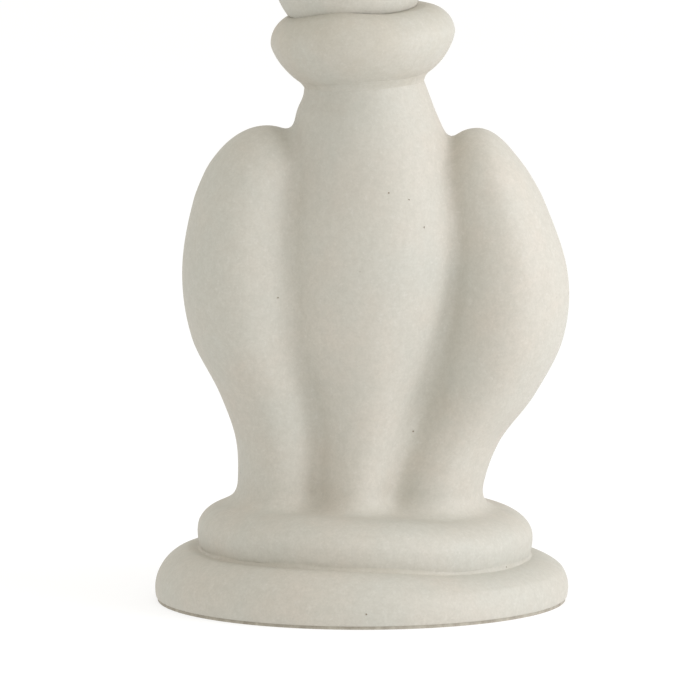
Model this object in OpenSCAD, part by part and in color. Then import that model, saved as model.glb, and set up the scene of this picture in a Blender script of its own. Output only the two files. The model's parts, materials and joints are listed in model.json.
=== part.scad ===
// Giant lawn chess piece: hollow cast-stone sections stacked on a tie rod, with a
// lift-off head and a sand-fill plug in the base.
// Millimetres, +Z up, front towards -Y, origin on the ground under the centre of the base.

/* [Lower plinth] */
// Largest radius of the lower plinth
plinth_r = 125.5; // [105:0.5:150]
// Height of the plinth's widest point above the ground
plinth_belly_z = 8; // [6:0.5:12]
// Height of the plinth's flat top above the ground
plinth_top = 30; // [28:0.5:45]
// Radial depth of the plinth's rounded edge
plinth_round = 25.5; // [20:0.5:30]
// How far the rim draws in under its widest point
rim_draw = 1; // [0.5:0.5:5]
// Thickness of the plinth's web
web_t = 11; // [11:0.5:14]
// Width of the rim round the recess under the plinth
recess_wall = 18.5; // [17:0.5:25]
// Radius of the opening through the plinth and the body's floor
opening_r = 62; // [61:0.5:66]
// Thickness of the foot ring
foot_t = 2; // [1.5:0.25:4]
// Radial width of the foot ring
foot_w = 11.5; // [8:0.5:12]

/* [Base plate and fill plug] */
// Thickness of the base plate
plate_t = 4; // [3:0.5:5]
// Distance of the base plate screws in from the recess's wall
screw_inset = 15; // [9:0.5:19]
// Number of base plate screws
screw_count = 6; // [4:1:8]
// Radius of the screw thread
screw_r = 3; // [2.5:0.5:4]
// Length of each threaded insert
insert_l = 9; // [6:0.5:9]
// Gap between the fill port's flange and the tie rod's washer
port_gap = 1; // [0.5:0.25:2]
// Radius of the fill port's bore
port_r = 14; // [10:0.5:16.5]

/* [Tie rod] */
// Radius of the tie rod
rod_r = 5; // [4:0.5:6]
// Clearance round the tie rod
rod_gap = 0.5; // [0.3:0.1:1]
// Gap between the neck plate and the neck's bore
neck_plate_gap = 2; // [1:0.5:5]
// Thickness of the neck plate
neck_plate_t = 5; // [4:0.5:6]

/* [Body] */
// Height of the body casting, up to the middle of its neck
body_h = 288; // [260:1:350]
// Radius of the step at the foot of the body
step_r = 102; // [99:0.5:110]
// Height of the step's widest point above its bottom
step_belly = 11; // [9:0.5:14]
// Radial width of the step's rounded edge
step_round = 24; // [18:0.5:28]
// Height of the step's top above its bottom
step_h = 27; // [24:0.5:32]
// Half width of the middle body at its belly
belly_w = 54.5; // [48:0.5:62]
// Half depth of the middle body at its belly
belly_d = 63; // [55:0.5:70]
// Reach of the left lobe from the middle
left_reach = 109; // [100:0.5:120]
// Reach of the right lobe from the middle
right_reach = 125; // [100:0.5:125]
// Half width of a side lobe
lobe_w = 39; // [34:0.5:44]
// Half depth of a side lobe
lobe_d = 50; // [42:0.5:56]
// Radius of the neck at its top
neck_r = 36; // [34:0.5:42]
// Radius of the neck's bore
neck_bore_r = 24; // [20:0.5:28]
// Wall thickness of the body casting
wall = 12; // [9:0.5:14]
// Softness of the creases between the lobes
crease_blend = 8; // [4:0.5:14]
// Thickness of the gasket under the body
gasket_t = 1; // [0.5:0.25:2]

/* [Collar and head] */
// Lean of the collar and head towards the left, in degrees
lean = 4.5; // [0:0.5:6]
// Largest radius of the collar
collar_r = 56; // [52:0.5:64]
// Height of the collar
collar_h = 42; // [36:0.5:50]
// Height of the collar's widest point
collar_belly = 25; // [20:0.5:28]
// Straightness of the collar's underside, 1 for a round one
collar_taper = 1.4; // [1:0.1:2]
// Radius of the round head
head_r = 46; // [43:0.5:56]
// Distance the head sits to the left of its spigot
head_shift = 4; // [0:0.5:5]
// Height of the head's middle above its seat
head_rise = 24.4; // [20:0.2:26]
// Wall thickness of the head
head_wall = 12; // [9:0.5:13]
// Radius of the head's spigot
spigot_r = 16; // [14:0.5:17]
// Length of spigot below the head's seat
spigot_l = 36; // [28:0.5:38]

/* [Hidden] */
stone = [0.86, 0.85, 0.80];
steel = [0.62, 0.63, 0.64];
rubber = [0.16, 0.16, 0.17];
brass = [0.78, 0.63, 0.30];
fine = 120;
round_fn = 64;

running_gap = 0.06;
bond_gap = 0.05;
seal_gap = 0.05;
loose_gap = 0.5;

// Heights above the ground
web_z = plinth_top - web_t;
plate_z = web_z - plate_t;
body_z = plinth_top + gasket_t;
neck_z = body_z + body_h;
step_z = body_z + step_h;
step_tuck = 3;
step_flat_r = step_r - step_round;

// Recess, foot ring, screws, inserts and dowels
recess_r = plinth_r - recess_wall;
rim_r = plinth_r - rim_draw;
foot_inset = 0.5;
foot_r = rim_r - foot_inset;
screw_pitch_r = recess_r - screw_inset;
screw_gap = 0.4;
screw_head_r = 1.85 * screw_r;
screw_head_t = 3.6;
screw_key_r = 0.85 * screw_r;
screw_key_depth = 2;
screw_tip_gap = 1;
insert_wall = 2;
dowel_count = 3;
dowel_r = 4;
dowel_pitch_r = (opening_r + step_r - step_tuck) / 2;
dowel_depth = 9;

// Gasket between plinth and body
gasket_in_r = opening_r + 4;
gasket_out_r = step_r - 6;

// Fill port and plug
port_wall = 5.8;
port_flange_w = 8;
port_barrel_r = port_r + port_wall;
port_flange_r = port_r + port_flange_w;
port_flange_t = 3;
plug_overhang = 4.5;
plug_head_r = port_r + plug_overhang;
plug_head_t = 3.5;
plug_tip = 1;
plug_key_r = 8;
plug_key_depth = 2.5;
seal_t = 2;
seal_w = 4;

// Tie rod, nuts, washers and the shelf they pull on
nut_r = 1.96 * rod_r;
nut_h = 1.6 * rod_r;
washer_r = 2.2 * rod_r;
washer_t = 2;
spring_t = 2.5;
spring_split = 1.5;
rod_tail = 1.5;
rod_head = 2.5;
shelf_drop = 22;
shelf_t = 10;
shelf_hole_r = 12;
neck_plate_r = neck_bore_r - neck_plate_gap;
spring_r = 1.8 * rod_r;
shelf_z = neck_z - shelf_drop;
washer_z = plate_z - washer_t;
base_nut_z = washer_z - nut_h;
rod_bottom = base_nut_z - rod_tail;
spring_z = shelf_z + neck_plate_t;
neck_nut_z = spring_z + spring_t;
rod_top = neck_nut_z + nut_h + rod_head;
port_y = -(washer_r + port_gap + port_flange_r);

// Sand fill
sand_gap = 1;
sand_throat_gap = 3;
sand_throat_r = opening_r - sand_throat_gap;
sand_rings = 4;

// Collar, socket and head, in the leaning frame on top of the neck
neck_x = 1.5;
socket_wall = 3.7;
socket_r = spigot_r + socket_wall;
socket_flange_w = 5;
socket_flange_t = 3;
socket_drop = 2;
pad_t = 1;
pad_w = 6;
pad_gap = 0.3;
pad_inset = 2;
pad_in_r = socket_r + socket_flange_w + pad_inset;
collar_crown = 0.5;
head_z = collar_h + head_rise;
spigot_wall = 3;
boss_wall = 6;
boss_r = spigot_r + boss_wall;
boss_h = 20;

// Outline of the middle body and the two lobes, station by station up the body.
// Each row: share of body_h, then centre offset, half width and half depth as shares
// of belly_w and belly_d for the middle body.
middle = [
    [0.00, -0.083, 0.523, 0.92],
    [0.12, -0.069, 0.509, 0.90],
    [0.23, 0.028, 0.569, 0.80],
    [0.33, 0.073, 0.66,  0.82],
    [0.45, 0.087, 0.895, 0.92],
    [0.56, 0.156, 0.982, 0.98],
    [0.66, 0.188, 1.00,  1.00],
    [0.75, 0.183, 0.954, 0.92],
    [0.85, 0.101, 0.899, 0.79],
    [0.93, 0.052, 0.774, 0.67],
    [0.965, 0.055, 0.703, 0.612],
    [1.00, neck_x / belly_w, neck_r / belly_w, neck_r / belly_d]
];
// Each row: share of body_h, then outer edge as a share of the lobe's reach, and half
// width and half depth as shares of lobe_w and lobe_d.
left_lobe = [
    [0.00, 0.725, 0.82,  0.92],
    [0.12, 0.695, 0.745, 0.88],
    [0.23, 0.70,  0.745, 0.84],
    [0.33, 0.79,  0.845, 0.88],
    [0.45, 0.945, 0.975, 0.98],
    [0.59, 1.00,  1.04,  1.00],
    [0.74, 0.935, 0.91,  0.86],
    [0.84, 0.83,  0.78,  0.72],
    [0.90, 0.785, 0.73,  0.66]
];
right_lobe = [
    [0.00, 0.59,  0.92, 0.96],
    [0.12, 0.585, 0.85, 0.90],
    [0.23, 0.67,  0.84, 0.84],
    [0.33, 0.84,  0.90, 0.88],
    [0.45, 0.98,  1.02, 0.98],
    [0.59, 1.00,  1.00, 1.00],
    [0.74, 0.885, 0.84, 0.86],
    [0.84, 0.76,  0.62, 0.72],
    [0.90, 0.71,  0.60, 0.66]
];
lobe_top = 0.897;
lobe_cap = 0.10;
hidden_drop = 12;
lean_from = 0.9;
wall_turn = 9;
cavity_lift = 0.03;
sides = 60;
step_rings = 9;
body_rings = 30;
inner_rings = 18;

// ---- curves ----

// Smooth curve through column c of a station table, at share s
function station(t, s, i = 0) = (i >= len(t) - 2 || s < t[i + 1][0]) ? i : station(t, s, i + 1);
function slope(t, c, i) =
    let (a = max(i - 1, 0), b = min(i + 1, len(t) - 1))
    (t[b][c] - t[a][c]) / (t[b][0] - t[a][0]);
function curve(t, c, s) =
    let (
        i = station(t, s),
        h = t[i + 1][0] - t[i][0],
        u = min(max((s - t[i][0]) / h, 0), 1),
        u2 = u * u,
        u3 = u2 * u
    )
    (2 * u3 - 3 * u2 + 1) * t[i][c] + (u3 - 2 * u2 + u) * h * slope(t, c, i)
        + (3 * u2 - 2 * u3) * t[i + 1][c] + (u3 - u2) * h * slope(t, c, i + 1);

// Larger of two radii, rounded where they meet
function soft_max(a, b, k) = max(a, b) + pow(max(k - abs(a - b), 0), 2) / (4 * k);

// Distance from the axis to an ellipse of half sizes w and d centred x off it, at angle q
function reach(x, w, d, q) =
    let (
        a = pow(cos(q) / w, 2) + pow(sin(q) / d, 2),
        b = x * cos(q) / (w * w),
        e = b * b - a * (x * x / (w * w) - 1)
    )
    (b + sqrt(max(e, 0))) / a;

// A lobe's cap closes it with a rounded top
function cap(s) = sqrt(max(1 - pow(max((s - lobe_top + lobe_cap) / lobe_cap, 0), 2), 0));
function lobe(t, s, side, span, q) =
    s >= lobe_top - 0.001 ? 0
    : let (w = lobe_w * curve(t, 2, s))
      reach(side * (span * curve(t, 1, s) - w), w * cap(s), lobe_d * cap(s) * curve(t, 3, s), q);
function middle_reach(s, q) =
    reach(belly_w * curve(middle, 1, s), belly_w * curve(middle, 2, s),
          belly_d * curve(middle, 3, s), q);

// Radius of the step's rounded edge at height h above the body's bottom
function step_at(h) =
    h < step_belly ? step_r - step_tuck * pow(1 - h / step_belly, 2)
    : h < step_h ? step_flat_r
        + (step_r - step_flat_r) * sqrt(1 - pow((h - step_belly) / (step_h - step_belly), 2))
    : step_flat_r - hidden_drop * (h - step_h);

// Outer radius of the body at share s and angle q
function body_at(s, q) =
    let (
        lobes = max(lobe(left_lobe, s, -1, left_reach, q),
                    lobe(right_lobe, s, 1, right_reach, q)),
        column = soft_max(middle_reach(s, q), lobes, crease_blend)
    )
    soft_max(column, step_at(s * body_h), crease_blend / 2);
function column_at(s, q) =
    soft_max(middle_reach(s, q),
             max(lobe(left_lobe, s, -1, left_reach, q), lobe(right_lobe, s, 1, right_reach, q)),
             crease_blend);

// Inner radius: the outer one eroded by the wall, sideways and downwards
function inner_at(s, q) =
    min(column_at(s, q - wall_turn), column_at(s, q), column_at(s, q + wall_turn),
        column_at(min(s + wall / body_h, 1), q)) - wall;

// The neck's top plane leans with the collar; lower rings lean less
function lean_share(s) = pow(max((s - lean_from) / (1 - lean_from), 0), 2);
function ring(s, radii) =
    [for (i = [0 : sides - 1])
        let (q = 360 * i / sides, x = radii[i] * cos(q))
        [x, radii[i] * sin(q), body_z + s * body_h + (x - neck_x) * tan(lean) * lean_share(s)]];
function level_ring(z, r) =
    [for (i = [0 : sides - 1]) [r * cos(360 * i / sides), r * sin(360 * i / sides), z]];
function outer_ring(s) = ring(s, [for (i = [0 : sides - 1]) body_at(s, 360 * i / sides)]);
function inner_ring(s) = ring(s, [for (i = [0 : sides - 1]) inner_at(s, 360 * i / sides)]);
function sand_ring(s) = ring(s, [for (i = [0 : sides - 1]) inner_at(s, 360 * i / sides) - sand_gap]);
function bore_ring(s, r) = ring(s, [for (i = [0 : sides - 1]) r]);

step_share = step_h / body_h;
cavity_low = step_share + cavity_lift;
cavity_high = (body_h - shelf_drop - shelf_t - wall) / body_h;
function cavity_share(j) = cavity_low + (cavity_high - cavity_low) * j / inner_rings;

// ---- helpers ----

// Stands its children on the leaning top of the neck
module on_neck() {
    translate([neck_x, 0, neck_z]) rotate([0, -lean, 0]) children();
}

module ring_of(count, r, turn = 0) {
    for (i = [0 : count - 1]) rotate([0, 0, turn + 360 * i / count]) translate([r, 0, 0]) children();
}

module tube(r_out, r_in, h, n = round_fn) {
    difference() {
        cylinder(r = r_out, h = h, $fn = n);
        translate([0, 0, -1]) cylinder(r = r_in, h = h + 2, $fn = round_fn);
    }
}

// A closed skin over a loop of rings, each with the same number of points; swapped splits
// its four-sided patches along their other diagonal
module ring_loop(rings, swapped = false) {
    n = sides;
    m = len(rings);
    points = [for (r = rings) for (p = r) p];
    faces = [for (j = [0 : m - 1]) for (i = [0 : n - 1])
        let (
            a = j * n + i,
            b = j * n + (i + 1) % n,
            c = ((j + 1) % m) * n + (i + 1) % n,
            d = ((j + 1) % m) * n + i
        )
        each (swapped ? [[a, d, b], [d, c, b]] : [[a, c, b], [a, d, c]])];
    polyhedron(points, faces, convexity = 8);
}

// ---- base ----

module foot_ring() {
    color(rubber) tube(foot_r, foot_r - foot_w, foot_t, fine);
}

module lower_plinth() {
    edge_r = plinth_r - plinth_round;
    edge_h = plinth_top - plinth_belly_z;
    rim_h = plinth_belly_z - foot_t;
    color(stone) difference() {
        rotate_extrude($fn = fine) polygon(concat(
            [[opening_r, web_z], [recess_r, web_z], [recess_r, foot_t]],
            [for (q = [-90 : 15 : -15]) [rim_r + rim_draw * cos(q), plinth_belly_z + rim_h * sin(q)]],
            [for (q = [0 : 7.5 : 90]) [edge_r + plinth_round * cos(q), plinth_belly_z + edge_h * sin(q)]],
            [[opening_r, plinth_top]]
        ));
        ring_of(screw_count, screw_pitch_r)
            translate([0, 0, web_z - 1])
                cylinder(r = screw_r + insert_wall, h = insert_l + 1, $fn = round_fn);
        ring_of(dowel_count, dowel_pitch_r, 90)
            translate([0, 0, plinth_top - dowel_depth])
                cylinder(r = dowel_r, h = dowel_depth + 1, $fn = round_fn);
    }
}

module base_plate() {
    color(steel) translate([0, 0, plate_z]) difference() {
        cylinder(r = recess_r - loose_gap, h = plate_t, $fn = fine);
        translate([0, 0, -1]) cylinder(r = rod_r + rod_gap, h = plate_t + 2, $fn = round_fn);
        translate([0, port_y, -1])
            cylinder(r = port_barrel_r + bond_gap, h = plate_t + 2, $fn = round_fn);
        ring_of(screw_count, screw_pitch_r)
            translate([0, 0, -1])
                cylinder(r = screw_r + screw_gap, h = plate_t + 2, $fn = round_fn);
    }
}

module base_screws() {
    color(steel) ring_of(screw_count, screw_pitch_r) difference() {
        union() {
            translate([0, 0, plate_z - screw_head_t])
                cylinder(r = screw_head_r, h = screw_head_t, $fn = round_fn);
            translate([0, 0, plate_z - 1])
                cylinder(r = screw_r, h = plate_t + insert_l + 1 - screw_tip_gap, $fn = round_fn);
        }
        translate([0, 0, plate_z - screw_head_t - 1])
            cylinder(r = screw_key_r, h = screw_key_depth + 1, $fn = 6);
    }
}

module threaded_inserts() {
    color(brass) ring_of(screw_count, screw_pitch_r)
        translate([0, 0, web_z]) tube(screw_r + insert_wall, screw_r + bond_gap, insert_l);
}

module fill_port() {
    color(steel) translate([0, port_y, plate_z]) difference() {
        union() {
            cylinder(r = port_barrel_r, h = plate_t + 1, $fn = round_fn);
            translate([0, 0, plate_t]) cylinder(r = port_flange_r, h = port_flange_t, $fn = round_fn);
        }
        translate([0, 0, -1])
            cylinder(r = port_r + running_gap, h = plate_t + port_flange_t + 2, $fn = round_fn);
    }
}

module plug_seal() {
    color(rubber) translate([0, port_y, plate_z - seal_t + seal_gap])
        tube(port_r + seal_w, port_r + running_gap, seal_t - 2 * seal_gap);
}

module fill_plug() {
    head_z0 = plate_z - seal_t - plug_head_t;
    shank_h = plug_head_t + seal_t + plate_t + port_flange_t + plug_tip;
    color(steel) translate([0, port_y, head_z0]) difference() {
        union() {
            cylinder(r = plug_head_r, h = plug_head_t, $fn = round_fn);
            cylinder(r = port_r, h = shank_h, $fn = round_fn);
        }
        translate([0, 0, -1]) cylinder(r = plug_key_r, h = plug_key_depth + 1, $fn = 6);
    }
}

module sand_ballast() {
    hole_r = rod_r + sand_gap;
    fill = [for (j = [0 : sand_rings]) sand_ring(cavity_share(j))];
    rings = concat(
        [level_ring(web_z, hole_r), level_ring(web_z, sand_throat_r)],
        [level_ring(step_z - wall, sand_throat_r)],
        fill,
        [level_ring(body_z + cavity_share(sand_rings) * body_h, hole_r)]
    );
    color([0.76, 0.67, 0.50]) difference() {
        ring_loop(rings, swapped = true);
        translate([0, port_y, web_z - 1])
            cylinder(r = port_flange_r + sand_gap, h = port_flange_t + plug_tip + 2, $fn = round_fn);
    }
}

// ---- body ----

module body_gasket() {
    color(rubber) translate([0, 0, plinth_top]) difference() {
        tube(gasket_out_r, gasket_in_r, gasket_t, fine);
        ring_of(dowel_count, dowel_pitch_r, 90)
            translate([0, 0, -1]) cylinder(r = dowel_r + loose_gap, h = gasket_t + 2, $fn = round_fn);
    }
}

module locating_dowels() {
    color(steel) ring_of(dowel_count, dowel_pitch_r, 90)
        translate([0, 0, plinth_top - dowel_depth])
            cylinder(r = dowel_r, h = 2 * dowel_depth + gasket_t, $fn = round_fn);
}

module body_casting() {
    outer_step = [for (j = [0 : step_rings]) outer_ring(step_share * sin(90 * j / step_rings))];
    outer_body = [for (j = [1 : body_rings])
        outer_ring(step_share + (1 - step_share) * j / body_rings)];
    cavity = [for (j = [inner_rings : -1 : 0]) inner_ring(cavity_share(j))];
    rings = concat(
        outer_step,
        outer_body,
        [bore_ring(1, neck_bore_r)],
        [level_ring(shelf_z, neck_bore_r), level_ring(shelf_z, shelf_hole_r)],
        [level_ring(shelf_z - shelf_t, shelf_hole_r)],
        cavity,
        [level_ring(step_z - wall, opening_r), level_ring(body_z, opening_r)]
    );
    color(stone) difference() {
        ring_loop(rings);
        ring_of(dowel_count, dowel_pitch_r, 90)
            translate([0, 0, body_z - 1]) cylinder(r = dowel_r, h = dowel_depth + 1, $fn = round_fn);
    }
}

module tie_rod() {
    color(steel) translate([0, 0, rod_bottom])
        cylinder(r = rod_r, h = rod_top - rod_bottom, $fn = round_fn);
}

module base_washer() {
    color(steel) translate([0, 0, washer_z]) tube(washer_r, rod_r + rod_gap, washer_t);
}

module base_nut() {
    color(steel) translate([0, 0, base_nut_z]) tube(nut_r, rod_r + bond_gap, nut_h, 6);
}

module neck_plate() {
    color(steel) translate([0, 0, shelf_z]) tube(neck_plate_r, rod_r + rod_gap, neck_plate_t);
}

module spring_washer() {
    color(steel) translate([0, 0, spring_z]) difference() {
        tube(spring_r, rod_r + rod_gap, spring_t);
        translate([0, -spring_split / 2, -1]) cube([2 * spring_r, spring_split, spring_t + 2]);
    }
}

module neck_nut() {
    color(steel) translate([0, 0, neck_nut_z]) tube(nut_r, rod_r + bond_gap, nut_h, 6);
}

// ---- collar and head ----

module collar() {
    edge = collar_r - neck_r;
    rise = collar_h + collar_crown - collar_belly;
    top_q = asin((collar_h - collar_belly) / rise);
    color(stone) on_neck() difference() {
        rotate_extrude($fn = fine) polygon(concat(
            [[socket_r, 0]],
            [for (q = [90 : -10 : 10])
                [neck_r + edge * pow(cos(q), collar_taper),
                 collar_belly * (1 - pow(sin(q), collar_taper))]],
            [for (j = [0 : 8])
                let (q = top_q * j / 8)
                [neck_r + edge * cos(q), collar_belly + rise * sin(q)]],
            [[socket_r, collar_h]]
        ));
        translate([0, 0, collar_h - socket_flange_t])
            cylinder(r = socket_r + socket_flange_w, h = socket_flange_t + 1, $fn = round_fn);
        translate([0, 0, collar_h - pad_t])
            tube(pad_in_r + pad_w, pad_in_r, pad_t + 1);
    }
}

module head_socket() {
    color(steel) on_neck() difference() {
        union() {
            translate([0, 0, socket_drop])
                cylinder(r = socket_r - bond_gap, h = collar_h - socket_drop, $fn = round_fn);
            translate([0, 0, collar_h - socket_flange_t])
                cylinder(r = socket_r + socket_flange_w - bond_gap, h = socket_flange_t, $fn = round_fn);
        }
        cylinder(r = spigot_r + running_gap, h = collar_h + 1, $fn = round_fn);
    }
}

module head_gasket() {
    color(rubber) on_neck() translate([0, 0, collar_h - pad_t])
        tube(pad_in_r + pad_w - pad_gap, pad_in_r + pad_gap, pad_t);
}

module head_casting() {
    color(stone) on_neck() difference() {
        translate([-head_shift, 0, head_z]) sphere(r = head_r, $fn = fine);
        translate([0, 0, collar_h - 2 * head_r]) cube(4 * head_r, center = true);
        difference() {
            translate([-head_shift, 0, head_z]) sphere(r = head_r - head_wall, $fn = fine);
            translate([0, 0, collar_h + head_wall - 2 * head_r]) cube(4 * head_r, center = true);
            translate([0, 0, collar_h]) cylinder(r = boss_r, h = boss_h, $fn = round_fn);
        }
        translate([0, 0, collar_h - 1]) cylinder(r = spigot_r + bond_gap, h = boss_h + 2, $fn = round_fn);
    }
}

module head_spigot() {
    color(steel) on_neck() translate([0, 0, collar_h - spigot_l])
        tube(spigot_r, spigot_r - spigot_wall, spigot_l + boss_h);
}

foot_ring();
lower_plinth();
base_plate();
base_screws();
threaded_inserts();
fill_port();
fill_plug();
plug_seal();
sand_ballast();
body_gasket();
locating_dowels();
body_casting();
tie_rod();
base_washer();
base_nut();
neck_plate();
spring_washer();
neck_nut();
collar();
head_socket();
head_gasket();
head_casting();
head_spigot();
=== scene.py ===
"""Looks of the giant chess piece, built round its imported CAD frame. Metres, +Z up, front towards -Y."""
import json
import math

import bpy
import numpy as np
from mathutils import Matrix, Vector


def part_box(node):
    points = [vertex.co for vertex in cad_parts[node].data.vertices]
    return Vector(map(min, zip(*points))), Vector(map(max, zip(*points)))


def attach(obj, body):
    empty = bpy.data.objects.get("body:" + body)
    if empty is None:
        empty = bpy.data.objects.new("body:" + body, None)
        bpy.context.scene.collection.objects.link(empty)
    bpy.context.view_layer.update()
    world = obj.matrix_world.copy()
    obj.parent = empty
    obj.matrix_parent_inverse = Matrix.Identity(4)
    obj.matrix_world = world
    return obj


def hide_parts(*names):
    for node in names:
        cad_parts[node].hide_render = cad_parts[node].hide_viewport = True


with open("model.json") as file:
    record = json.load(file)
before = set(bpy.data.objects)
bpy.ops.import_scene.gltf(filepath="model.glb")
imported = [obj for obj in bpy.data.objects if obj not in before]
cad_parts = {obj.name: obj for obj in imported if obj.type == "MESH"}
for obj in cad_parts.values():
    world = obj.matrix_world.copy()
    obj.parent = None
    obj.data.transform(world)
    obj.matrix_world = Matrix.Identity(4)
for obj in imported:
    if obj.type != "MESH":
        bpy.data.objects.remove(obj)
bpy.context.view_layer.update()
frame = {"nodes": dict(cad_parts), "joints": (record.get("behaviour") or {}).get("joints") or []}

MM = 0.001

# ---------------------------------------------------------------- places, from the frame

plinth_low, plinth_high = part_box("lower_plinth")
body_low, body_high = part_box("body_casting")
plate_low, plate_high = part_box("base_plate")
shelf_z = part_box("neck_plate")[0].z
socket_low, socket_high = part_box("head_socket")

PLINTH_R = plinth_high.x
PLINTH_TOP = plinth_high.z
FOOT_T = plinth_low.z
WEB_Z = plate_high.z
OPENING_R = 62 * MM
BODY_Z = body_low.z
SHELF_DROP = 22 * MM
SHELF_T = 10 * MM
SHELF_HOLE_R = 12 * MM
NECK_BORE_R = 24 * MM
NECK_Z = shelf_z + SHELF_DROP
BODY_H = NECK_Z - BODY_Z
NECK_X = 1.5 * MM
LIFT = Vector(next(j["axis"] for j in frame["joints"] if j["name"] == "head_lift")).normalized()
LEAN = math.atan2(-LIFT.x, LIFT.z)

# ---------------------------------------------------------------- shape of the castings

STEP_R = 102 * MM
STEP_BELLY = 11 * MM
STEP_H = 27 * MM
STEP_ROUND = 24 * MM
STEP_TUCK = 1.6 * MM
STEP_X = 2 * MM
BELLY_W = 54.5 * MM
BELLY_D = 63 * MM
LEFT_REACH = 109 * MM
RIGHT_REACH = 125 * MM
LOBE_W = 39 * MM
LOBE_D = 50 * MM
LEFT_TOP = 0.899
RIGHT_TOP = 0.893
LOBE_CAP = 0.10
WALL = 12 * MM
CREASE_BLEND = 8 * MM
CREASE_SPREAD = 3 * MM
CREASE_FILL = 8 * MM
FILL_AT = 0.34
FILL_WIDTH = 0.12
MIDDLE_FULL = 0.16
FULL_DEPTH = 20 * MM
FOOT_BLEND = 14 * MM
HAND_RISE = 0.45 * MM
HAND_SIZE = 46 * MM
FOOT_LIP = 0.9 * MM
LIP_R = 92 * MM
LIP_BLEND = 5 * MM
MOUTH_BLEND = 6 * MM

# Each row: share of the body's height, then centre, half width and half depth as shares
# of BELLY_W and BELLY_D
MIDDLE = np.array([
    [0.00, -0.083, 0.523, 0.92],
    [0.12, -0.069, 0.509, 0.90],
    [0.23, 0.028, 0.569, 0.80],
    [0.33, 0.073, 0.66, 0.82],
    [0.45, 0.087, 0.895, 0.92],
    [0.56, 0.156, 0.982, 0.98],
    [0.66, 0.188, 1.00, 1.00],
    [0.75, 0.183, 0.954, 0.92],
    [0.85, 0.101, 0.899, 0.79],
    [0.93, 0.052, 0.774, 0.67],
    [0.965, 0.055, 0.703, 0.612],
    [1.00, 0.0275, 0.6606, 0.571],
])
# Each row: share of the body's height, then outer edge as a share of the lobe's reach, half
# width and half depth as shares of LOBE_W and LOBE_D, and how far its crest sits outwards
LEFT_LOBE = np.array([
    [0.00, 0.725, 0.82, 0.92, 0.0],
    [0.12, 0.695, 0.745, 0.88, 0.0],
    [0.23, 0.70, 0.745, 0.84, 0.0],
    [0.33, 0.79, 0.845, 0.88, 0.0],
    [0.45, 0.945, 0.975, 0.98, 0.0],
    [0.59, 1.00, 1.04, 1.00, 0.0],
    [0.74, 0.935, 0.91, 0.86, 0.0],
    [0.84, 0.83, 0.78, 0.72, 0.0],
    [0.90, 0.785, 0.73, 0.66, 0.0],
])
RIGHT_LOBE = np.array([
    [0.00, 0.59, 0.92, 0.96, 0.0],
    [0.12, 0.585, 0.85, 0.90, 0.05],
    [0.23, 0.67, 0.84, 0.84, 0.12],
    [0.33, 0.84, 0.90, 0.88, 0.1],
    [0.45, 0.98, 1.02, 0.98, 0.06],
    [0.59, 1.00, 1.00, 1.00, 0.08],
    [0.74, 0.885, 0.84, 0.86, 0.15],
    [0.84, 0.76, 0.62, 0.72, 0.18],
    [0.90, 0.71, 0.60, 0.66, 0.18],
])

# The joint under the body falls to the right and at both sides, and wanders in front, where each
# row of WANDER is a place along x and the drop there
JOINT_TILT = 0.022
JOINT_BOW = 0.05
WANDER_DEPTH = 60 * MM
WANDER = np.array([
    [-112, 0.0], [-85, -0.2], [-62, -1.0], [-37, -1.9], [-8, -2.0],
    [20, -1.2], [45, 0.5], [70, 1.5], [95, 1.4], [125, 0.9],
]) * MM


def curve(table, column, share):
    """Smooth curve through one column of a station table."""
    at, value = table[:, 0], table[:, column]
    s = np.clip(share, at[0], at[-1])
    i = np.clip(np.searchsorted(at, s, side="right") - 1, 0, len(at) - 2)
    before, after = np.maximum(np.arange(len(at)) - 1, 0), np.minimum(np.arange(len(at)) + 1, len(at) - 1)
    slope = (value[after] - value[before]) / (at[after] - at[before])
    h = at[i + 1] - at[i]
    u = (s - at[i]) / h
    return ((2 * u**3 - 3 * u**2 + 1) * value[i] + (u**3 - 2 * u**2 + u) * h * slope[i]
            + (3 * u**2 - 2 * u**3) * value[i + 1] + (u**3 - u**2) * h * slope[i + 1])


def ellipse_gap(x, y, centre, w, d):
    """Distance from an ellipse's edge in the plane, close enough near the edge."""
    k = np.sqrt(((x - centre) / w)**2 + (y / d)**2)
    slope = np.sqrt(((x - centre) / w**2)**2 + (y / d**2)**2)
    return k * (k - 1) / np.maximum(slope, 1e-6)


def soft_join(a, b, blend):
    """Union of two shapes with a soft fillet along the crease."""
    h = np.maximum(blend - np.abs(a - b), 0) / blend
    return np.minimum(a, b) - h * h * blend / 4


def waves(x, y, z, size, seed):
    """Gentle hand-finished unevenness, from -1 to 1, with bumps of about this size."""
    rng = np.random.default_rng(seed)
    total = 0
    for _ in range(6):
        direction = rng.normal(size=3)
        direction *= 2 * math.pi / size / np.linalg.norm(direction) * rng.uniform(0.6, 1.3)
        total = total + np.sin(x * direction[0] + y * direction[1] + z * direction[2] + rng.uniform(0, 6.3))
    return total / 6


def joint_drop(x, y):
    """How far the hand-laid joint under the body lies below level."""
    front = np.clip(-y / WANDER_DEPTH, 0, 1)
    return JOINT_TILT * x + JOINT_BOW * x * x + front * curve(WANDER, 1, x)


def lobe_gap(x, y, share, table, side, span, top):
    """One side lobe, closed above by half an ellipsoid."""
    w, d = LOBE_W * curve(table, 2, share), LOBE_D * curve(table, 3, share)
    skew = curve(table, 4, share)
    out = side * x - span * curve(table, 1, share) + w * (1 - skew)
    w = np.where(out > 0, w * (1 - skew), w * (1 + skew))
    u, v = out / w, y / d
    over = np.maximum((share - top + LOBE_CAP) / LOBE_CAP, 0)
    k = np.sqrt(u * u + v * v + over * over)
    slope = np.sqrt((u / w)**2 + (v / d)**2 + (over / (LOBE_CAP * BODY_H))**2)
    return k * (k - 1) / np.maximum(slope, 1e-6)


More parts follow.
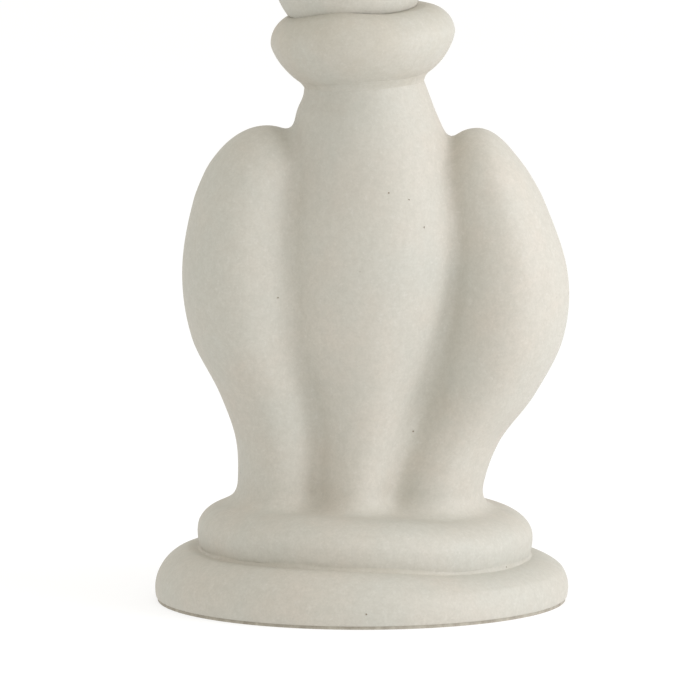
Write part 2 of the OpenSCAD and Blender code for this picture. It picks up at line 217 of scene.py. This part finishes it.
def column_gap(x, y, z):
    """The middle body with its two side lobes, wider where the lobes hide its edge."""
    share = (z - BODY_Z) / BODY_H
    centre = BELLY_W * curve(MIDDLE, 1, share)
    full = MIDDLE_FULL * np.clip((share - 0.1) / 0.2, 0, 1) * np.clip((0.88 - share) / 0.15, 0, 1)
    full = full * np.where(x < centre, 1, np.clip(y / FULL_DEPTH, 0, 1))
    middle = ellipse_gap(x, y, centre, BELLY_W * curve(MIDDLE, 2, share) * (1 + full),
                         BELLY_D * curve(MIDDLE, 3, share))
    left = lobe_gap(x, y, share, LEFT_LOBE, -1, LEFT_REACH, LEFT_TOP)
    right = lobe_gap(x, y, share, RIGHT_LOBE, 1, RIGHT_REACH, RIGHT_TOP)
    blend = CREASE_BLEND + CREASE_SPREAD * np.clip((0.6 - share) / 0.5, 0, 1)
    fill = CREASE_FILL * np.exp(-((share - FILL_AT) / FILL_WIDTH)**2)
    return soft_join(soft_join(middle, left, blend), right, blend + fill)


def step_gap(x, y, z):
    """The rounded step at the foot of the body."""
    r = np.hypot(x - STEP_X, y)
    h = z - BODY_Z + joint_drop(x, y)
    flat_r = STEP_R - STEP_ROUND
    rise = STEP_H - STEP_BELLY
    k = np.sqrt((np.maximum(r - flat_r, 0) / STEP_ROUND)**2 + (np.maximum(h - STEP_BELLY, 0) / rise)**2)
    top = (k - 1) * rise
    side = r - (STEP_R - STEP_TUCK * np.clip(1 - h / STEP_BELLY, 0, 1)**2)
    return np.where(h > STEP_BELLY, top, side)


def body_gap(x, y, z):
    """The whole hollow body casting: negative inside the stone."""
    outer = soft_join(column_gap(x, y, z), step_gap(x, y, z), FOOT_BLEND)
    outer = outer + HAND_RISE * waves(x, y, z, HAND_SIZE, 3)
    top = (x - NECK_X) * LIFT.x + (z - NECK_Z) * LIFT.z
    r = np.hypot(x, y)
    foot = BODY_Z - joint_drop(x, y) - FOOT_LIP * np.clip((r - LIP_R) / LIP_BLEND, 0, 1)
    outer = np.maximum(outer, np.maximum(top, foot - z))
    ceiling = shelf_z - SHELF_T
    cavity = np.maximum(column_gap(x, y, z) + WALL, np.maximum(z - ceiling + WALL, BODY_Z + STEP_H - z))
    cavity = soft_join(cavity, np.maximum(r - OPENING_R, z - (BODY_Z + STEP_H - WALL)), MOUTH_BLEND)
    cavity = np.minimum(cavity, np.maximum(r - SHELF_HOLE_R, z - shelf_z - MM))
    cavity = np.minimum(cavity, np.maximum(r - NECK_BORE_R, shelf_z - z))
    return np.maximum(outer, -cavity)


# ---------------------------------------------------------------- mesh helpers

CORNERS = [(i, j, k) for i in (0, 1) for j in (0, 1) for k in (0, 1)]
EDGES = [(a, b) for a in CORNERS for b in CORNERS if sum(abs(p - q) for p, q in zip(a, b)) == 1 and a < b]


SHARP_ANGLE = 50


def surface_net(gap, low, high, cell):
    """Quads over the zero surface of a field, with their corners pulled onto it."""
    axes = [np.arange(a - 1.5 * cell, b + 2.5 * cell, cell) for a, b in zip(low, high)]
    grid = gap(axes[0][:, None, None], axes[1][None, :, None], axes[2][None, None, :])
    shape = tuple(n - 1 for n in grid.shape)

    def corner(c):
        return grid[c[0]:c[0] + shape[0], c[1]:c[1] + shape[1], c[2]:c[2] + shape[2]]

    total = np.zeros(shape + (3,))
    count = np.zeros(shape)
    for a, b in EDGES:
        fa, fb = corner(a), corner(b)
        cross = (fa < 0) != (fb < 0)
        t = fa / np.where(cross, fa - fb, 1)
        for n in range(3):
            total[..., n] += np.where(cross, a[n] + t * (b[n] - a[n]), 0)
        count += cross
    active = count > 0
    index = np.full(shape, -1)
    index[active] = np.arange(active.sum())
    where = np.argwhere(active)
    points = (where + total[active] / count[active][:, None]) * cell + np.array([a[0] for a in axes])
    faces = []
    for n in range(3):
        u, v = (n + 1) % 3, (n + 2) % 3
        first = [slice(1, s) for s in shape]
        second = list(first)
        first[n], second[n] = slice(0, shape[n]), slice(1, shape[n] + 1)
        inside_a, inside_b = grid[tuple(first)] < 0, grid[tuple(second)] < 0
        at = np.argwhere(inside_a != inside_b)
        flip = inside_b[tuple(at.T)]
        at = at + [0 if m == n else 1 for m in range(3)]

        def cell_at(du, dv):
            c = at.copy()
            c[:, u] -= du
            c[:, v] -= dv
            return index[tuple(c.T)]

        quad = np.stack([cell_at(1, 1), cell_at(0, 1), cell_at(0, 0), cell_at(1, 0)], 1)
        quad[flip] = quad[flip][:, ::-1]
        faces.append(quad)
    start = points.copy()
    for _ in range(4):
        value, slope = field_slope(gap, points)
        step = value[:, None] * slope / np.maximum((slope**2).sum(1), 1e-6)[:, None]
        points = start + np.clip(points - step - start, -cell, cell)
    return points, np.concatenate(faces)


def field_slope(gap, points, h=0.05 * MM):
    """Value and slope of a field at some points, by small steps along each axis."""
    x, y, z = points.T
    value = gap(x, y, z)
    slope = np.stack([gap(x + h, y, z) - value, gap(x, y + h, z) - value, gap(x, y, z + h) - value], 1) / h
    return value, slope


def add_mesh(name, points, faces):
    """A smooth-shaded piece, with sharp edges where its faces turn by more than SHARP_ANGLE."""
    mesh = bpy.data.meshes.new(name)
    mesh.from_pydata(points.tolist(), [], list(faces))
    mesh.update()
    mesh.shade_smooth()
    mesh.set_sharp_from_angle(angle=math.radians(SHARP_ANGLE))
    piece = bpy.data.objects.new(name, mesh)
    bpy.context.scene.collection.objects.link(piece)
    return piece


def lathe(profile, sides, warp=None, closed=True):
    """A profile of (r, z) points turned about Z. Points on the axis become single corners."""
    angle = np.arange(sides) * 2 * math.pi / sides
    points, rings = [], []
    for r, z in profile:
        if r < 1e-7:
            rings.append([len(points)] * sides)
            points.append((0, 0, z))
        else:
            rings.append(list(range(len(points), len(points) + sides)))
            points.extend(zip(r * np.cos(angle), r * np.sin(angle), np.full(sides, z)))
    points = np.array(points, float)
    faces = []
    last = len(rings) if closed else len(rings) - 1
    for j in range(last):
        low, high = rings[j], rings[(j + 1) % len(rings)]
        for i in range(sides):
            n = (i + 1) % sides
            loop = [low[i], low[n], high[n], high[i]]
            faces.append([p for k, p in enumerate(loop) if p != loop[k - 1]])
    if warp is not None:
        points = warp(points)
    return points, faces


def arc(centre_r, centre_z, w, h, start, end, steps):
    """Points along an elliptical arc, in degrees from +r."""
    turn = np.radians(np.linspace(start, end, steps + 1))
    return [(centre_r + w * math.cos(q), centre_z + h * math.sin(q)) for q in turn]


def on_neck(points):
    """From the leaning frame on top of the neck to the part's own frame."""
    turn = np.array([[math.cos(LEAN), 0, -math.sin(LEAN)], [0, 1, 0], [math.sin(LEAN), 0, math.cos(LEAN)]])
    return points @ turn.T + np.array([NECK_X, 0, NECK_Z])


def mark_hollows(piece, reach, strength):
    """Stores how far each corner lies below its smoothed surroundings, for the painted shade and grime in
    the creases.
    """
    mesh = piece.data
    count = len(mesh.vertices)
    points = np.zeros(count * 3)
    mesh.vertices.foreach_get("co", points)
    points = points.reshape(-1, 3)
    normals = np.zeros(count * 3)
    mesh.vertex_normals.foreach_get("vector", normals)
    normals = normals.reshape(-1, 3)
    edges = np.zeros(len(mesh.edges) * 2, int)
    mesh.edges.foreach_get("vertices", edges)
    a, b = edges.reshape(-1, 2).T
    degree = np.maximum(np.bincount(a, minlength=count) + np.bincount(b, minlength=count), 1)
    smooth = points.copy()
    for _ in range(reach):
        total = np.zeros_like(smooth)
        for n in range(3):
            total[:, n] = (np.bincount(a, smooth[b, n], count) + np.bincount(b, smooth[a, n], count))
        smooth = total / degree[:, None]
    depth = ((smooth - points) * normals).sum(1)
    layer = mesh.attributes.new("hollow", "FLOAT", "POINT")
    layer.data.foreach_set("value", np.clip(depth * strength, -1, 1).astype(np.float32))


# ---------------------------------------------------------------- materials


class Nodes:
    """Short names for building a node material."""

    def __init__(self, name):
        self.material = bpy.data.materials.new(name)
        self.material.use_nodes = True
        self.tree = self.material.node_tree
        self.shader = self.tree.nodes["Principled BSDF"]
        self.place = self.add("ShaderNodeTexCoord").outputs["Object"]

    def add(self, kind, **values):
        node = self.tree.nodes.new(kind)
        for key, value in values.items():
            setattr(node, key, value)
        return node

    def link(self, out, into):
        self.tree.links.new(out, into)

    def noise(self, scale, detail=3, roughness=0.5, place=None):
        node = self.add("ShaderNodeTexNoise")
        node.inputs["Scale"].default_value = scale
        node.inputs["Detail"].default_value = detail
        node.inputs["Roughness"].default_value = roughness
        self.link(place or self.place, node.inputs["Vector"])
        return node.outputs["Fac"]

    def ramp(self, value, low, high, bottom=0.0, top=1.0):
        node = self.add("ShaderNodeMapRange", clamp=True)
        self.link(value, node.inputs["Value"])
        for key, number in (("From Min", low), ("From Max", high), ("To Min", bottom), ("To Max", top)):
            node.inputs[key].default_value = number
        return node.outputs["Result"]

    def math(self, operation, a, b):
        node = self.add("ShaderNodeMath", operation=operation)
        for socket, value in zip(node.inputs, (a, b)):
            if isinstance(value, (int, float)):
                socket.default_value = value
            else:
                self.link(value, socket)
        return node.outputs["Value"]

    def mix(self, factor, a, b):
        node = self.add("ShaderNodeMix", data_type="RGBA")
        # Sockets 0, 6 and 7 are the colour mix's factor, A and B, and output 2 is its result
        for socket, value in zip((node.inputs[0], node.inputs[6], node.inputs[7]), (factor, a, b)):
            if isinstance(value, (int, float)):
                socket.default_value = value
            elif isinstance(value, tuple):
                socket.default_value = (*value, 1)
            else:
                self.link(value, socket)
        return node.outputs[2]

    def bump(self, height, distance, strength=1.0, below=None):
        node = self.add("ShaderNodeBump")
        node.inputs["Distance"].default_value = distance
        node.inputs["Strength"].default_value = strength
        self.link(height, node.inputs["Height"])
        if below is not None:
            self.link(below, node.inputs["Normal"])
        return node.outputs["Normal"]

    def finish(self, colour, roughness, normal=None, metallic=0.0, specular=0.5):
        shader = self.shader
        self.link(colour, shader.inputs["Base Color"])
        self.link(roughness, shader.inputs["Roughness"])
        if normal is not None:
            self.link(normal, shader.inputs["Normal"])
        shader.inputs["Metallic"].default_value = metallic
        shader.inputs["Specular IOR Level"].default_value = specular
        return self.material


# Middle of the soft darker grey patch below the neck
GREY_PATCH_AT = (-0.024, -0.045, 0.276)


def cast_stone(name, stain=0.0):
    """Off-white cast stone: sugar grain, mottling, a little stain, a soft darker grey patch, pinholes, and
    painted shade with grime in the creases.
    """
    n = Nodes(name)
    base, warm, cool = (0.551, 0.531, 0.470), (0.567, 0.527, 0.460), (0.533, 0.527, 0.472)
    patches = n.ramp(n.noise(16, 4, 0.6), 0.38, 0.62)
    colour = n.mix(patches, warm, cool)
    colour = n.mix(n.ramp(n.noise(45, 3, 0.6), 0.35, 0.65, 0, 0.6), colour, base)
    grain = n.noise(700, 3, 0.7)
    colour = n.mix(n.ramp(grain, 0.30, 0.70, 0.0, 0.31), colour, (0.38, 0.36, 0.305))
    mottle = n.noise(230, 3, 0.6)
    colour = n.mix(n.ramp(mottle, 0.35, 0.65, 0.0, 0.24), colour, (0.405, 0.39, 0.335))
    fleck = n.noise(420, 2, 0.5)
    colour = n.mix(n.ramp(fleck, 0.60, 0.74, 0.0, 0.28), colour, (0.62, 0.60, 0.555))

    # Painted shade and grime in the creases: darker brown where the surface lies below its smoothed
    # surroundings
    hollow = n.add("ShaderNodeAttribute", attribute_name="hollow").outputs["Fac"]
    crease_dirt_and_shade = n.math("MULTIPLY", n.ramp(hollow, 0.12, 0.9), n.ramp(n.noise(160, 3, 0.6), 0.30, 0.65, 0.45, 1.0))
    colour = n.mix(n.math("MULTIPLY", crease_dirt_and_shade, 0.07), colour, (0.30, 0.26, 0.19))

    colour = n.mix(n.ramp(n.noise(38, 3, 0.6), 0.32, 0.60, 0.25 * stain, stain), colour, (0.40, 0.345, 0.25))
    # A soft darker grey patch below the neck, fading out with distance from its middle
    grey_patch_distance = n.add("ShaderNodeVectorMath", operation="DISTANCE")
    grey_patch_distance.inputs[1].default_value = GREY_PATCH_AT
    n.link(n.place, grey_patch_distance.inputs[0])
    grey = n.ramp(grey_patch_distance.outputs["Value"], 0.012, 0.052, 0.2, 0.0)
    grey = n.math("MULTIPLY", grey, n.ramp(n.noise(70, 3, 0.6), 0.3, 0.6, 0.6, 1.0))
    colour = n.mix(grey, colour, (0.36, 0.35, 0.31))

    pits = n.add("ShaderNodeTexVoronoi", feature="F1")
    pits.inputs["Scale"].default_value = 58
    n.link(n.place, pits.inputs["Vector"])
    chosen = n.ramp(n.noise(30, 0, 0.5), 0.56, 0.57)
    hole = n.math("MULTIPLY", n.ramp(pits.outputs["Distance"], 0.020, 0.034, 1.0, 0.0), chosen)
    colour = n.mix(n.math("MULTIPLY", hole, 0.7), colour, (0.20, 0.14, 0.07))

    rough = n.ramp(n.noise(60, 3, 0.6), 0.3, 0.7, 0.56, 0.68)
    coarse = n.bump(n.noise(130, 4, 0.65), 0.34 * MM, 0.6)
    fine = n.bump(grain, 0.10 * MM, 0.8, coarse)
    pitted = n.bump(n.math("SUBTRACT", 1.0, hole), 0.6 * MM, 0.9, fine)
    return n.finish(colour, rough, pitted, specular=0.35)


def rubber(name, dark, light, worn):
    """Matte moulded rubber with dust and scuffs."""
    n = Nodes(name)
    colour = n.mix(n.ramp(n.noise(180, 4, 0.6), 0.35, 0.7), dark, light)
    colour = n.mix(n.ramp(n.noise(35, 3, 0.6), 0.5, 0.75, 0, worn), colour, (0.36, 0.33, 0.28))
    rough = n.ramp(n.noise(300, 3, 0.5), 0.3, 0.7, 0.65, 0.85)
    return n.finish(colour, rough, n.bump(n.noise(1800, 2, 0.5), 0.05 * MM, 0.7), specular=0.3)


def metal(name, dark, light, roughness, brushed=1.0, rust=0.0):
    """Worked metal: stretched tool marks, duller patches and, where asked, a little rust."""
    n = Nodes(name)
    stretch = n.add("ShaderNodeMapping")
    stretch.inputs["Scale"].default_value = (1, 1, brushed)
    n.link(n.place, stretch.inputs["Vector"])
    marks = n.noise(900, 3, 0.6, stretch.outputs["Vector"])
    spangle = n.add("ShaderNodeTexVoronoi", feature="F1")
    spangle.inputs["Scale"].default_value = 160
    n.link(n.place, spangle.inputs["Vector"])
    colour = n.mix(n.ramp(marks, 0.3, 0.7), dark, light)
    colour = n.mix(n.ramp(spangle.outputs["Distance"], 0.1, 0.8, 0.0, 0.25), colour, dark)
    colour = n.mix(n.ramp(n.noise(90, 4, 0.65), 0.58, 0.72, 0, rust), colour, (0.23, 0.10, 0.04))
    rough = n.ramp(n.noise(120, 3, 0.5), 0.3, 0.7, roughness - 0.08, roughness + 0.12)
    return n.finish(colour, rough, n.bump(marks, 0.03 * MM, 0.5), metallic=1.0)


def dry_sand():
    """Dry yellow sand."""
    n = Nodes("sand")
    colour = n.mix(n.ramp(n.noise(2200, 2, 0.6), 0.35, 0.65), (0.34, 0.24, 0.13), (0.66, 0.54, 0.36))
    colour = n.mix(n.ramp(n.noise(50, 3, 0.5), 0.4, 0.7, 0, 0.3), colour, (0.45, 0.37, 0.26))
    rough = n.ramp(n.noise(500, 2, 0.5), 0.3, 0.7, 0.85, 0.98)
    return n.finish(colour, rough, n.bump(n.noise(2200, 3, 0.6), 0.3 * MM, 1.0), specular=0.25)


def paint(piece, material):
    piece.data.materials.clear()
    piece.data.materials.append(material)


# ---------------------------------------------------------------- pieces

SIDES = 288


def make_plinth():
    """The bulging lower plinth, with its rounded rim, uneven by hand."""
    belly_z, rim_draw, edge = 8 * MM, 1 * MM, 25.5 * MM
    roll_r = 101 * MM
    left_rise = 0.9 * MM
    edge_r = PLINTH_R - edge
    rim_r = PLINTH_R - rim_draw
    recess_r = plate_high.x + 0.5 * MM
    profile = (
        [(OPENING_R, WEB_Z), (recess_r, WEB_Z), (recess_r, FOOT_T)]
        + [(recess_r + (rim_r - recess_r) * t, FOOT_T) for t in (0.25, 0.5, 0.75)]
        + arc(rim_r, belly_z, rim_draw, belly_z - FOOT_T, -90, 0, 14)[:-1]
        + arc(edge_r, belly_z, edge, PLINTH_TOP - belly_z, 0, 90, 40)
        + [(edge_r + (OPENING_R - edge_r) * t, PLINTH_TOP) for t in (0.2, 0.4, 0.6, 0.8, 1)]
    )

    def warp(p):
        x, y, z = p.T
        r = np.hypot(x, y)
        free = np.clip((z - FOOT_T) / (6 * MM), 0, 1) * np.clip((r - roll_r) / (12 * MM), 0, 1)
        swell = free * waves(x, y, z, 90 * MM, 11) * 0.5 * MM
        out = p.copy()
        out[:, 0] += x / r * swell
        out[:, 1] += y / r * swell
        out[:, 2] -= joint_drop(x, y) * np.clip((z - WEB_Z) / (PLINTH_TOP - WEB_Z), 0, 1)
        left = np.clip(-x / (110 * MM), 0, 1) * np.clip((r - roll_r) / (5 * MM), 0, 1)
        out[:, 2] += left_rise * left * np.clip((z - 10 * MM) / (10 * MM), 0, 1)
        return out

    piece = add_mesh("lower_plinth_stone", *lathe(profile, SIDES, warp))
    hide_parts("lower_plinth")
    return piece


def make_body():
    """Step, middle body, lobes and neck: one hollow casting."""
    cell = 1.9 * MM
    points, faces = surface_net(body_gap, body_low, body_high, cell)
    piece = add_mesh("body_stone", points, faces)
    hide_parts("body_casting")
    return piece


def make_gasket():
    """The thin seal in the joint under the body, following its wander."""
    low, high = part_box("body_gasket")
    in_r, out_r, thick = OPENING_R + 4 * MM, high.x - 3 * MM, high.z - low.z
    bevel = 0.4 * MM
    profile = [(in_r, low.z), (out_r - bevel, low.z), (out_r, low.z + thick / 2)]
    profile += [(out_r - bevel, high.z), (in_r, high.z)]

    def warp(p):
        return p - np.outer(joint_drop(p[:, 0], p[:, 1]), [0, 0, 1])

    piece = add_mesh("body_seal", *lathe(profile, SIDES // 2, warp))
    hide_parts("body_gasket")
    return piece


def make_bead():
    """The soft bead of mortar in the corner between the plinth and the body."""
    r, z = STEP_R - STEP_TUCK, PLINTH_TOP
    profile = [(-2.5, -3.5), (3.2, -3.5), (2.4, -1.0), (1.6, -0.4), (0.9, 0.1), (0.5, 0.6)]
    profile += [(0.3, 1.4), (0.2, 3), (-2.5, 3)]

    def warp(p):
        out = p - np.outer(joint_drop(p[:, 0], p[:, 1]), [0, 0, 1])
        q = np.arctan2(p[:, 1], p[:, 0])
        out[:, 2] += 0.12 * MM * np.sin(7 * q) * np.sin(3 * q + 1)
        return out + [STEP_X, 0, 0]

    return add_mesh("joint_bead", *lathe([(r + a * MM, z + b * MM) for a, b in profile], SIDES, warp))


def make_neck_bead():
    """The soft bead of mortar in the corner between the neck and the collar."""
    profile = [(33, -6), (35.4, -6), (36.1, -4.2), (36.8, -2.4), (37.8, -0.7), (39.2, 1.0), (41.0, 2.7)]
    profile += [(41.6, 3.8), (33, 3.8)]

    def warp(p):
        q = np.arctan2(p[:, 1], p[:, 0])
        out = p.copy()
        out[:, 2] += 0.4 * MM * np.sin(2 * q + 0.7) + 0.2 * MM * np.sin(5 * q)
        return on_neck(out)

    return add_mesh("neck_bead", *lathe([(r * MM, z * MM) for r, z in profile], SIDES, warp))


def make_collar():
    """The fat leaning ring on the neck, its crown raised to a lip in front, left of the middle."""
    core, height, belly, edge = 36 * MM, 42 * MM, 25 * MM, 20 * MM
    bore, taper = 19.7 * MM, 1.4
    pad_in, pad_out, sleeve, sleeve_depth = 26.7 * MM, 32.7 * MM, 24.7 * MM, 3 * MM
    lip_in, lip_width, lip_rise, lip_turn, lip_spread = 40.1 * MM, 1.1 * MM, 4.3 * MM, -112, 34
    turn = np.radians(np.linspace(90, 3, 30))
    rise = height + 0.5 * MM - belly
    profile = (
        [(bore, 0)] + [(bore + (core - bore) * t, 0) for t in (0.33, 0.66)]
        + [(core + edge * math.cos(q)**taper, belly * (1 - math.sin(q)**taper)) for q in turn]
        + arc(core, belly, edge, rise, 0, 70, 24)
        + [(r * MM, height - h * MM) for r, h in ((42.2, 0.32), (41.6, 0.2), (41.2, 0.12), (40.8, 0.05))]
        + [(lip_in, height), (33.3 * MM, height), (pad_out, height), (pad_out, height - MM)]
        + [(pad_in, height - MM), (pad_in, height), (sleeve, height)]
        + [(sleeve, height - sleeve_depth), (bore, height - sleeve_depth)]
    )

    def warp(p):
        x, y, z = p.T
        r = np.hypot(x, y)
        free = np.clip((r - 37 * MM) / (10 * MM), 0, 1)
        swell = free * waves(x, y, z, 70 * MM, 23) * 0.9 * MM
        out = p.copy()
        out[:, 0] += x / r * swell + free * 1.2 * MM
        out[:, 1] += y / r * swell
        lift = lip_rise * np.exp(-((np.degrees(np.arctan2(y, x)) - lip_turn) / lip_spread)**2)
        lip = np.clip((r - lip_in) / lip_width, 0, 1) * np.clip((z - belly) / (14 * MM), 0, 1)**1.5
        out[:, 2] += lift * lip
        return on_neck(out)

    piece = add_mesh("collar_stone", *lathe(profile, SIDES, warp))
    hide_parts("collar")
    return piece


def make_head():
    """The round head, hollow, with a boss for its spigot."""
    ball, seat, wall, shift = 46 * MM, 39 * MM, 12 * MM, 4 * MM
    floor_z = 42 * MM
    rise = math.sqrt(ball**2 - seat**2)
    centre_z = floor_z + rise
    inner = ball - wall
    boss_r, boss_top, bore = 22 * MM, floor_z + 20 * MM, 16.05 * MM
    cavity_floor = floor_z + wall
    turn = math.degrees(math.asin((cavity_floor - centre_z) / inner))
    skirt = [(38.7, 0), (39.05, 0.15), (39.3, 0.5)]
    low = -math.degrees(math.asin((rise - MM) / ball))
    profile = (
        [(0, centre_z + inner)] + arc(0, centre_z, inner, inner, 88, turn, 40)
        + [(boss_r, cavity_floor), (boss_r, boss_top), (bore, boss_top), (bore, floor_z)]
        + [(bore + (seat - bore) * t, floor_z) for t in (0.35, 0.7)]
        + [(r * MM, floor_z + h * MM) for r, h in skirt]
        + arc(0, centre_z, ball, ball, low, 89, 90) + [(0, centre_z + ball)]
    )

    def warp(p):
        x, y, z = p.T
        r = np.maximum(np.hypot(x, y), 1e-6)
        loose = np.clip((r - boss_r) / (8 * MM), 0, 1) + np.clip((z - boss_top) / (8 * MM), 0, 1)
        loose = np.clip(loose, 0, 1)
        skin = np.clip((np.sqrt(r**2 + (z - centre_z)**2) - inner) / wall, 0, 1)
        swell = 1 + 0.012 * waves(x, y, z, 80 * MM, 31) * skin * np.clip((z - floor_z) / (10 * MM), 0, 1)
        out = np.stack([x * swell - shift * loose, y * swell, z], 1)
        return on_neck(out)

    piece = add_mesh("head_stone", *lathe(profile, SIDES, warp, closed=False))
    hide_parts("head_casting")
    return piece


def dress():
    """Makes every visible piece and gives each CAD node that stays its own material."""
    stone, stained = cast_stone("cast_stone"), cast_stone("stained_stone", 0.2)
    castings = {make_plinth: "stand", make_body: "stand", make_collar: "stand", make_head: "head"}
    for make, body in castings.items():
        piece = make()
        paint(piece, stained if make is make_collar else stone)
        mark_hollows(piece, 10, 500)
        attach(piece, body)
    zinc = metal("zinc_steel", (0.27, 0.28, 0.29), (0.45, 0.45, 0.44), 0.46, 0.2)
    galvanised = metal("galvanised_plate", (0.36, 0.38, 0.40), (0.60, 0.62, 0.63), 0.46, 1.0, 0.35)
    alloy = metal("port_alloy", (0.30, 0.31, 0.32), (0.46, 0.46, 0.47), 0.42, 6.0)
    brass = metal("brass", (0.50, 0.33, 0.10), (0.78, 0.58, 0.25), 0.32, 4.0)
    foot = rubber("foot_rubber", (0.30, 0.27, 0.22), (0.46, 0.43, 0.36), 0.6)
    seal = rubber("seal_rubber", (0.020, 0.020, 0.021), (0.050, 0.048, 0.046), 0.25)
    for bead in (make_bead(), make_neck_bead()):
        mark_hollows(bead, 1, 300)
        paint(bead, stained)
        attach(bead, "stand")
    gasket = make_gasket()
    paint(gasket, seal)
    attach(gasket, "stand")
    finishes = {
        zinc: ["base_screws", "locating_dowels", "tie_rod", "base_washer", "base_nut",
               "spring_washer", "neck_nut"],
        galvanised: ["base_plate", "neck_plate"],
        alloy: ["fill_port", "fill_plug", "head_socket", "head_spigot"],
        brass: ["threaded_inserts"],
        foot: ["foot_ring"],
        seal: ["plug_seal", "head_gasket"],
        dry_sand(): ["sand_ballast"],
    }
    for material, names in finishes.items():
        for name in names:
            paint(frame["nodes"][name], material)


# ---------------------------------------------------------------- floor, light and camera


def make_floor():
    """The plain pale floor, bright enough to meet the background without a line."""
    mesh = bpy.data.meshes.new("floor")
    size = 30.0
    corners = [(-size, -size, 0), (size, -size, 0), (size, size, 0), (-size, size, 0)]
    mesh.from_pydata(corners, [], [(0, 1, 2, 3)])
    floor = bpy.data.objects.new("floor", mesh)
    bpy.context.scene.collection.objects.link(floor)
    n = Nodes("floor")
    colour = n.mix(n.noise(2, 2), (0.40, 0.40, 0.40), (0.42, 0.42, 0.42))
    n.shader.inputs["Emission Color"].default_value = (1.0, 1.0, 1.0, 1)
    n.shader.inputs["Emission Strength"].default_value = 0.645
    paint(floor, n.finish(colour, n.ramp(n.noise(3, 2), 0.3, 0.7, 0.9, 0.95), specular=0.0))


DAYLIGHT = (0.975, 0.985, 1.06)
WARM = (1.0, 0.985, 0.95)


def make_light(name, place, target, size, watts, colour):
    """A soft box that the camera doesn't see."""
    data = bpy.data.lights.new(name, "AREA")
    data.shape = "RECTANGLE"
    data.size, data.size_y = size
    data.energy = watts
    data.color = colour
    light = bpy.data.objects.new(name, data)
    light.location = place
    light.rotation_euler = (Vector(target) - Vector(place)).to_track_quat("-Z", "Y").to_euler()
    light.visible_camera = False
    bpy.context.scene.collection.objects.link(light)


def make_world(strength):
    """Even, slightly warm light from all round."""
    world = bpy.data.worlds.new("studio")
    world.use_nodes = True
    background = world.node_tree.nodes["Background"]
    background.inputs["Color"].default_value = (1.0, 0.983, 0.942, 1)
    background.inputs["Strength"].default_value = strength
    bpy.context.scene.world = world


def make_camera():
    """A long lens about eight degrees above level, framed on the lower part of the piece."""
    distance, elevation = 12.0, math.radians(8.0)
    width_seen = 425 * MM
    target = Vector((-7 * MM, 0, 152.7 * MM))
    data = bpy.data.cameras.new("camera")
    data.sensor_width = 36
    data.lens = data.sensor_width * distance / width_seen
    data.clip_start, data.clip_end = 0.1, 100
    camera = bpy.data.objects.new("camera", data)
    back = Vector((0, -math.cos(elevation), math.sin(elevation)))
    camera.location = target + back * distance
    camera.rotation_euler = (-back).to_track_quat("-Z", "Y").to_euler()
    bpy.context.scene.collection.objects.link(camera)
    bpy.context.scene.camera = camera


dress()
make_floor()
make_world(0.89)
make_light("key", (2.14, -0.95, 0.75), (0, 0, 0.20), (1.4, 1.4), 28.5, DAYLIGHT)
make_light("strip", (0.55, -0.02, 0.42), (0, 0, 0.31), (0.25, 0.30), 0.34, DAYLIGHT)
make_light("overhead", (-0.3, -1.3, 2.2), (0, 0, 0.15), (1.8, 1.8), 3.3, WARM)
make_camera()
bpy.context.scene.view_settings.view_transform = "Standard"
